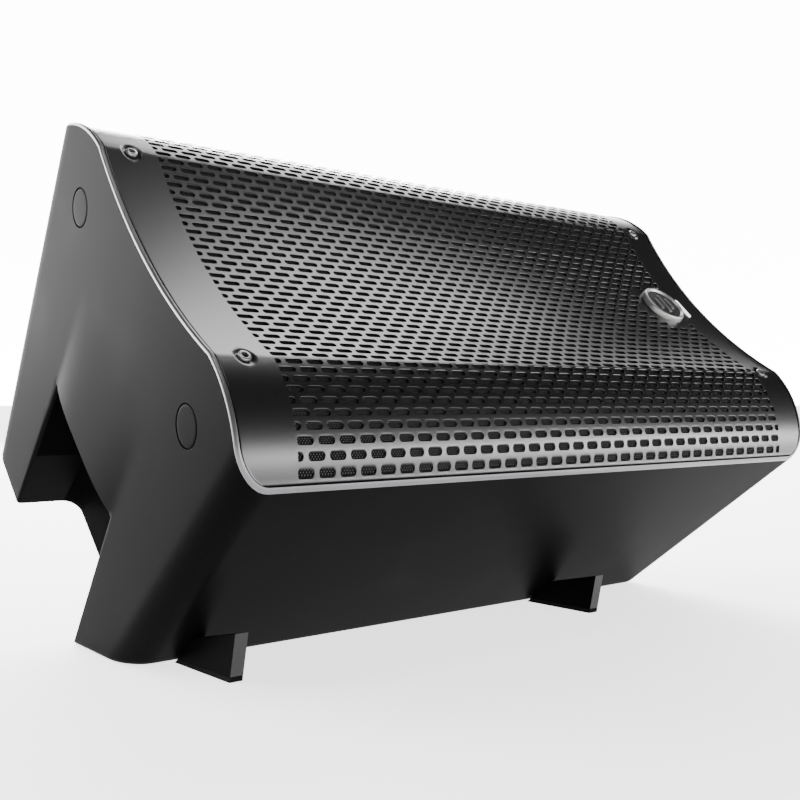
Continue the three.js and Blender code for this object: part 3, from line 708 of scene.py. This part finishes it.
ROWS = row_table()
FINE_Y = sorted({round(low + (high - low) * b / 4, 6) for low, _, high, _ in ROWS for b in range(5)})
COLUMNS = int(round((PATTERN[1] - FIRST_CELL + PITCH / 2) / PITCH)) + 1
LEFT = FIRST_CELL - PITCH
RIGHT = LEFT + PITCH / 2 * (2 * COLUMNS + 1)


def margin_x(side, y, share):
    """x at a share of the way from the cells to the sheet's end."""
    inner_x = LEFT if side < 0 else RIGHT
    return inner_x + (side * grille_edge_x(y) - inner_x) * share


def slot_rings(cx, low, cy, high):
    """Rings from a cell's outline through its slot, and back to the outline on the inner face."""
    outer, inner = slot_cell(cx, low, cy, high)
    levels = [(outer, 0.0), (inner(0.2), 0.0), (inner(0.0), 0.2), (inner(0.0), SHEET), (outer, SHEET)]
    return [[sheet_point(x, y, drop) for x, y in ring] for ring, drop in levels]


def solid_patches(x0, low, high, steps):
    """Plain pieces of a row, four deep, from x0 on, with an outer and an inner face each."""
    for a in range(steps):
        for b in range(4):
            y0, y1 = low + (high - low) * b / 4, low + (high - low) * (b + 1) / 4
            near, far = x0 + QUARTER * a, x0 + QUARTER * (a + 1)
            for drop, order in ((0.0, (0, 1, 2, 3)), (SHEET, (3, 2, 1, 0))):
                corners = [(near, y0), (far, y0), (far, y1), (near, y1)]
                yield [sheet_point(x, y, drop) for x, y in corners], [order]


def row_parts(low, cy, high, parity):
    """The slots and plain pieces of one row; odd rows start half a pitch earlier."""
    start = FIRST_CELL - PITCH / 2 * parity
    for k in range(COLUMNS):
        cx = start + PITCH * k
        if is_slot(cx, cy):
            yield rings_mesh(slot_rings(cx, low, cy, high), close_ends=False)
        else:
            yield from solid_patches(cx - 2 * QUARTER, low, high, 4)
    first, last = start - PITCH / 2, start - PITCH / 2 + PITCH * COLUMNS
    for x0, x1 in ((LEFT, first), (last, RIGHT)):
        yield from solid_patches(x0, low, high, int(round((x1 - x0) / QUARTER)))


def margin_parts(side):
    """The plain sheet between the cells and one end, on both faces."""
    for y0, y1 in zip(FINE_Y, FINE_Y[1:]):
        for m in range(MARGIN_STEPS):
            s0, s1 = m / MARGIN_STEPS, (m + 1) / MARGIN_STEPS
            corners = [(margin_x(side, y, share), y) for y, share in ((y0, s0), (y0, s1), (y1, s1), (y1, s0))]
            for drop in (0.0, SHEET):
                yield [sheet_point(x, y, drop) for x, y in corners], [(0, 1, 2, 3)]


def sheet_outline():
    """Points along the whole edge of the sheet."""
    across = [margin_x(-1, EDGE_Y, 1 - m / MARGIN_STEPS) for m in range(1, MARGIN_STEPS)]
    across += [LEFT + QUARTER * k for k in range(int(round((RIGHT - LEFT) / QUARTER)) + 1)]
    across += [margin_x(1, EDGE_Y, m / MARGIN_STEPS) for m in range(1, MARGIN_STEPS)]
    loop = [(margin_x(-1, y, 1.0), y) for y in FINE_Y]
    loop += [(x, EDGE_Y) for x in across]
    loop += [(margin_x(1, y, 1.0), y) for y in reversed(FINE_Y)]
    loop += [(x, -EDGE_Y) for x in reversed(across)]
    return loop


def rolled_edge():
    """The edge of the sheet, rolled over and turned down all round."""
    loop = sheet_outline()
    count = len(loop)
    normals = []
    for i in range(count):
        before, after = loop[i - 1], loop[(i + 1) % count]
        dx, dy = after[0] - before[0], after[1] - before[1]
        size = math.hypot(dx, dy)
        normals.append((-dy / size, dx / size))
    profile = [(0.0, 0.0), (0.45, 0.08), (0.75, 0.35), (0.9, 0.8), (0.9, 4.5), (0.2, 4.5), (0.0, SHEET)]
    rings = [[(x + nx * out, y + ny * out * 0.8, front_z(y) - GRILLE_DROP - drop)
              for (x, y), (nx, ny) in zip(loop, normals)] for out, drop in profile]
    return rings_mesh(rings, close_ends=False)


def grille_sheet():
    """The perforated sheet as one mesh."""
    parts = [part for row in ROWS for part in row_parts(*row)]
    parts += [part for side in (-1, 1) for part in margin_parts(side)]
    parts.append(rolled_edge())
    points, faces = [], []
    for part_points, part_faces in parts:
        base = len(points)
        points.extend(part_points)
        faces.extend(tuple(base + k for k in face) for face in part_faces)
    return raw_object("perforated_grille", points, faces, merge=0.00003)


def woven_sheet():
    """The cloth behind the grille, which follows its dish and its rounded ends."""
    rings = []
    for k in range(95):
        y = -188 + 4 * k
        x, z = grille_edge_x(y) - 1.6, front_z(y) - 3.0
        rings.append([(-x, y, z), (x, y, z), (x, y, z - 1.2), (-x, y, z - 1.2)])
    return raw_object("woven_backing_sheet", *rings_mesh(rings))


finish_piece(grille_sheet(), "grille_paint", "root", ["grille"], angle=40)
finish_piece(woven_sheet(), "grille_cloth", "root", ["grille_cloth"])


# ---------------------------------------------------------------- screws, badge and light
def hex_screw(name, place, replaced):
    """A socket-headed screw with a hexagonal recess."""
    radius, base = 4.7, -1.9
    outline = [(2.0, base - 20), (2.0, base), (radius - 0.3, base), (radius, base + 0.3),
               (radius, base + 1.5), (radius - 0.35, base + 2.1), (radius - 1.0, base + 2.4),
               (3.2, base + 2.5)]
    socket = [(2.85, base - 1.6), (2.85, base + 2.0), (3.2, base + 3.2)]
    screw = raw_object(name, *turned(place, outline))
    cut(screw, *turned(place, socket, segments=6))
    finish_piece(screw, "bright_steel", "root", replaced)


def badge_bezel(place):
    """The badge's bright ring, with a rounded crest."""
    outline = [(20.4, 3.0), (20.4, -0.4), (25.0, -0.4), (24.9, 1.2), (24.3, 3.9), (23.8, 4.8), (23.2, 5.3),
               (22.6, 5.5), (22.1, 5.4), (21.6, 5.0), (20.4, 3.6), (20.4, 3.0)]
    turns = [2 * math.pi * i / 96 for i in range(96)]
    rings = [[place(r * math.cos(a), r * math.sin(a), h) for a in turns] for r, h in outline]
    bezel = raw_object("badge_bezel", *rings_mesh(rings, close_ends=False))
    finish_piece(bezel, "badge_metal", "root", ["badge_ring"])


def badge_face_plate(place):
    """The slightly domed face of the badge."""
    outline = [(20.2, -0.3), (20.2, 2.6), (19.8, 3.0), (19.0, 3.1), (10.0, 3.5), (0.01, 3.6)]
    plate = raw_object("badge_face_plate", *turned(place, outline, segments=72))
    finish_piece(plate, "badge_face", "root", ["badge_disc"])


for number, (x, y) in enumerate(SCREW_PLACES, 1):
    spot = local_frame((x, y, -GRILLE_DROP), (0, 0, 1))
    hex_screw(f"socket_screw_{number}", spot, [f"grille_screw_{number}"])

badge = local_frame((BADGE_X, 0, -DISH_DEPTH), (0, 0, 1))
badge_bezel(badge)
badge_face_plate(badge)
# Three plain bars stand in for the letters of the badge.
for number, (a, half) in enumerate(((-8.5, 8.0), (0.0, 13.0), (8.5, 8.0)), 1):
    bar_frame = local_frame((BADGE_X + a, 0, -DISH_DEPTH), (0, 0, 1))
    rounded_bar(f"badge_bar_{number}", bar_frame, 2.3, half, 3.2, 4.7, 0.4, "bright_steel")
light = local_frame((LED_X, 0, -DISH_DEPTH), (0, 0, 1))
rounded_bar("status_light", light, 2.5, 13.6, -2.6, 0.1, 0.5, "light_lens", ["led_lens"])

# ---------------------------------------------------------------- end caps
CAP_OUTLINE = [(14.6, -2.3), (14.9, -2.0), (14.9, -0.9), (14.6, -0.35), (14.0, -0.1), (12.5, 0.0),
               (0.01, 0.0)]
for side, y in CAP_Y.items():
    cap = turned(end_frame(-1, y, CAP_Z), CAP_OUTLINE, segments=64)
    finish_piece(raw_object(f"end_cap_{side}", *cap), "shell_plastic", "root", [f"rigging_cap_{side}"])

# ---------------------------------------------------------------- carried-over CAD nodes
# Widths of the softened edges, in millimetres.
BEVEL_GROUPS = {
    0.2: ["encoder_shaft", *[f"panel_screw_{i}" for i in range(1, 5)]],
    0.3: ["display_window"],
    0.4: ["amp_panel", "amp_heatsink", "level_knob_1", "level_knob_2", "encoder_knob",
          "pairing_button"],
    0.5: ["mains_inlet", "power_switch_frame", "pole_cup", *[f"rubber_foot_{i}" for i in range(1, 5)]],
    0.6: ["power_rocker", "input_jack_1", "input_jack_2", "link_output_jack"],
    1.0: ["fin_pad_near", "fin_pad_far"],
    1.6: ["monitor_fin_near", "monitor_fin_far"],
    3.0: ["damping_foam"],
}
bevel_widths = {name: width for width, names in BEVEL_GROUPS.items() for name in names}
node_slots = {row["node"]: row["material_slot"] for row in frame["record"]["subparts"]}


def finish_node(name, node):
    """Finish a CAD node with its slot's material and smooth shading, and soften its edges where a width is
    listed.
    """
    node.data.materials.clear()
    node.data.materials.append(finishes[node_slots[name]])
    for face in node.data.polygons:
        face.use_smooth = True
    # The fins' front faces take the lighter, glossier copy: painted light.
    if name.startswith("monitor_fin"):
        node.data.materials.append(finishes["fin_front_painted_light"])
        for face in node.data.polygons:
            face.material_index = int(face.normal.y < -0.8)
    if name in bevel_widths:
        bevel = node.modifiers.new("rounded_edges", "BEVEL")
        bevel.width = bevel_widths[name] / 1000
        bevel.segments = 2
        bevel.limit_method = "ANGLE"
        bevel.angle_limit = math.radians(34)
        bevel.harden_normals = True
    else:
        edges = node.modifiers.new("sharp_edges", "WEIGHTED_NORMAL")
        edges.weight = 90


for name, node in nodes.items():
    finish_node(name, node)

# ---------------------------------------------------------------- studio
FLOOR_REACH = 60
# Brightness of the sky at heights from the horizon (0) to straight up (1).
SKY_LEVELS = [(0.0, 2.5), (0.12, 0.6), (0.38, 0.05), (0.85, 0.02)]
# Two soft bright areas behind the object: direction, cosines where they begin and are full, brightness.
SKY_WINDOWS = [((0.64, 0.76, 0.07), 0.82, 0.9, 14.0), ((-0.45, 0.89, 0.12), 0.7, 0.97, 19.0)]


def studio_floor():
    """A plain pale floor with a little glow of its own."""
    mesh = bpy.data.meshes.new("studio_floor")
    corners = [(FLOOR_REACH * x, FLOOR_REACH * y, 0) for x, y in ((-1, -1), (1, -1), (1, 1), (-1, 1))]
    mesh.from_pydata(corners, [], [(0, 1, 2, 3)])
    floor = bpy.data.objects.new("studio_floor", mesh)
    bpy.context.scene.collection.objects.link(floor)
    pale = shader("pale_floor", (0.9, 0.9, 0.9), 0.7, grain=60, bump=0.0, spread=0.01, rough_spread=0.02,
                  specular=0.2)
    add_glow(pale, 2.2)
    mesh.materials.append(pale)


def studio_sky():
    """A sky that is bright near the horizon, with two soft windows of light."""
    sky = bpy.data.worlds.new("studio")
    bpy.context.scene.world = sky
    sky.use_nodes = True
    tree = sky.node_tree
    coordinate = tree.nodes.new("ShaderNodeTexCoord")
    split = tree.nodes.new("ShaderNodeSeparateXYZ")
    tree.links.new(coordinate.outputs["Generated"], split.inputs["Vector"])
    ramp = tree.nodes.new("ShaderNodeValToRGB")
    tree.links.new(split.outputs["Z"], ramp.inputs["Fac"])
    stops = ramp.color_ramp.elements
    stops[0].position, stops[1].position = SKY_LEVELS[0][0], SKY_LEVELS[-1][0]
    for position, _ in SKY_LEVELS[1:-1]:
        stops.new(position)
    for stop, (_, level) in zip(stops, SKY_LEVELS):
        stop.color = (level, level, level, 1)
    light_sum = ramp.outputs["Color"]
    for middle, edge, full, level in SKY_WINDOWS:
        facing = tree.nodes.new("ShaderNodeVectorMath")
        facing.operation = "DOT_PRODUCT"
        facing.inputs[1].default_value = Vector(middle).normalized()
        tree.links.new(coordinate.outputs["Generated"], facing.inputs[0])
        patch = tree.nodes.new("ShaderNodeMapRange")
        patch.interpolation_type = "SMOOTHSTEP"
        patch.inputs["From Min"].default_value = edge
        patch.inputs["From Max"].default_value = full
        patch.inputs["To Max"].default_value = level
        tree.links.new(facing.outputs["Value"], patch.inputs["Value"])
        total = tree.nodes.new("ShaderNodeVectorMath")
        total.operation = "ADD"
        tree.links.new(light_sum, total.inputs[0])
        tree.links.new(patch.outputs["Result"], total.inputs[1])
        light_sum = total.outputs["Vector"]
    tree.links.new(light_sum, tree.nodes["Background"].inputs["Color"])
    tree.nodes["Background"].inputs["Strength"].default_value = 1.0


def softbox(name, direction, distance, size, radiance):
    """A rectangular light that looks at the cabinet's middle from a direction."""
    data = bpy.data.lights.new(name, "AREA")
    data.shape = "RECTANGLE"
    data.size, data.size_y = size
    data.energy = radiance * math.pi * size[0] * size[1]
    light_object = bpy.data.objects.new(name, data)
    bpy.context.scene.collection.objects.link(light_object)
    way = Vector(direction).normalized()
    light_object.location = Vector((0, 0, 0.2)) + way * distance
    light_object.rotation_euler = way.to_track_quat("Z", "Y").to_euler()


studio_floor()
studio_sky()
softbox("key_box", (0.505, 0.29, 0.81), 2.6, (1.6, 1.0), 8.0)
softbox("key_tail", (0.47, 0.02, 0.88), 2.6, (0.6, 0.7), 1.8)
softbox("rim_box", (-0.2, -0.37, 0.9), 2.2, (0.7, 0.7), 9.0)
softbox("low_strip", (0.6, -0.78, 0.03), 3.0, (2.5, 0.35), 30)
softbox("floor_light", (0.42, 0.78, 0.46), 4.5, (3.6, 1.4), 45)

# ---------------------------------------------------------------- camera
CAMERA_X, CAMERA_Y, CAMERA_Z = -679.67, -676.118, -111.316  # millimetres from the cabinet frame's place
VIEW_TOWARDS = (0.6476, 0.7620)
TILT_TRIM, TURN_TRIM = 0.00204, 0.00186

camera_data = bpy.data.cameras.new("photo_camera")
camera_data.lens = 48.515
camera_data.sensor_width = 36.0
camera = bpy.data.objects.new("photo_camera", camera_data)
bpy.context.scene.collection.objects.link(camera)
camera.location = (CAMERA_X / 1000, (SHIFT_Y + CAMERA_Y) / 1000, (SHIFT_Z + CAMERA_Z) / 1000)
camera.rotation_euler = (math.pi / 2 + TILT_TRIM, 0, -math.atan2(*VIEW_TOWARDS) + TURN_TRIM)
bpy.context.scene.camera = camera
